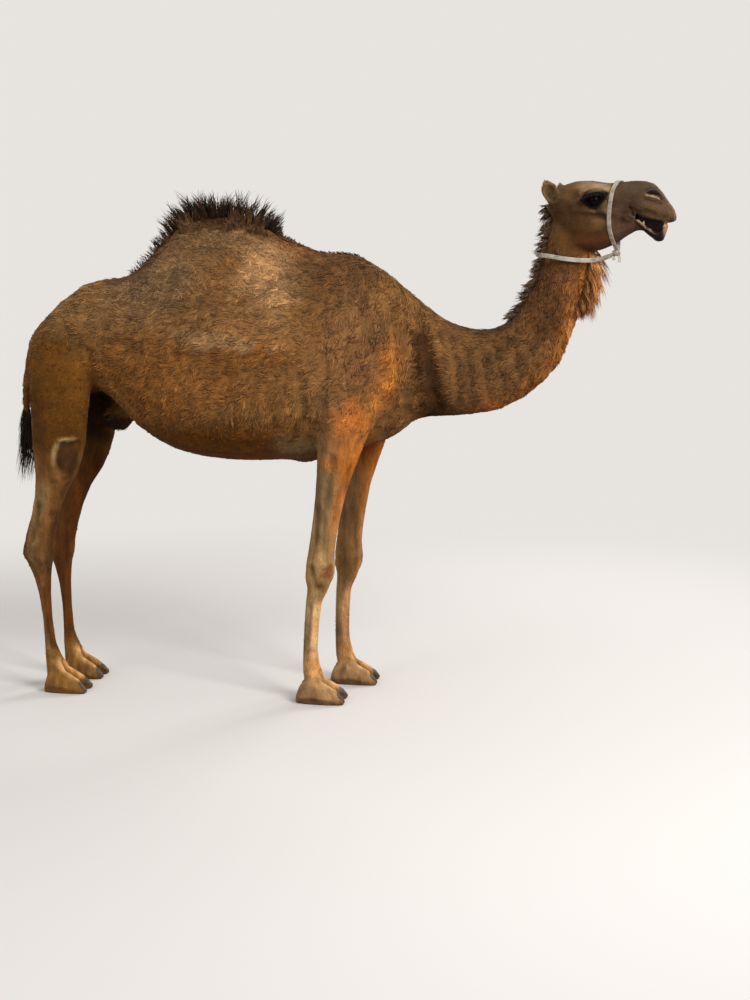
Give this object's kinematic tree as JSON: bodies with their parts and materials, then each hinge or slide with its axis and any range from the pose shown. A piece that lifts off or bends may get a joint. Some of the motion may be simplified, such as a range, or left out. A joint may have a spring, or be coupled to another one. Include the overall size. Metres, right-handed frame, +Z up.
{
  "type": "camel",
  "caption": "Life-size still model of a one-humped camel standing square with its head turned aside, mouth open, and a webbing halter on.",
  "frame": {"origin": "centre of the bounding box on the floor plane, between the feet", "axes": "+X towards the head, +Y towards the animal's left side, +Z up"},
  "size_m": [2.629, 0.616, 2.043],
  "materials": {
    "coat": "short flat tan coat",
    "hump_coat": "short woolly curls, tan",
    "leg_coat": "very short sandy coat",
    "muzzle": "fine short hair over skin, grey-brown",
    "long_hair": "long dark brown hair",
    "beard": "long russet hair",
    "nail": "grey horn",
    "eye": "wet, dark brown",
    "webbing": "flat off-white woven webbing"
  },
  "bodies": {
    "root": {"trunk": "coat", "hump": "hump_coat", "neck_lower": "coat", "neck_upper": "coat", "head": "muzzle", "lower_jaw": "muzzle", "eye_right": "eye", "eye_left": "eye", "ear_right": "coat", "ear_left": "coat", "fore_leg_right_upper": "coat", "fore_leg_right_lower": "leg_coat", "fore_leg_right_foot": "leg_coat", "fore_leg_left_upper": "coat", "fore_leg_left_lower": "leg_coat", "fore_leg_left_foot": "leg_coat", "hind_leg_right_thigh": "coat", "hind_leg_right_shank": "leg_coat", "hind_leg_right_lower": "leg_coat", "hind_leg_right_foot": "leg_coat", "hind_leg_left_thigh": "coat", "hind_leg_left_shank": "leg_coat", "hind_leg_left_lower": "leg_coat", "hind_leg_left_foot": "leg_coat", "fore_nail_right_inner": "nail", "fore_nail_right_outer": "nail", "fore_nail_left_inner": "nail", "fore_nail_left_outer": "nail", "hind_nail_right_inner": "nail", "hind_nail_right_outer": "nail", "hind_nail_left_inner": "nail", "hind_nail_left_outer": "nail", "tail": "coat", "tail_tuft": "long_hair", "hump_crest": "long_hair", "mane": "long_hair", "beard": "beard", "halter_noseband": "webbing", "halter_neck_strap": "webbing", "halter_knot": "webbing"}
  },
  "joints": []
}
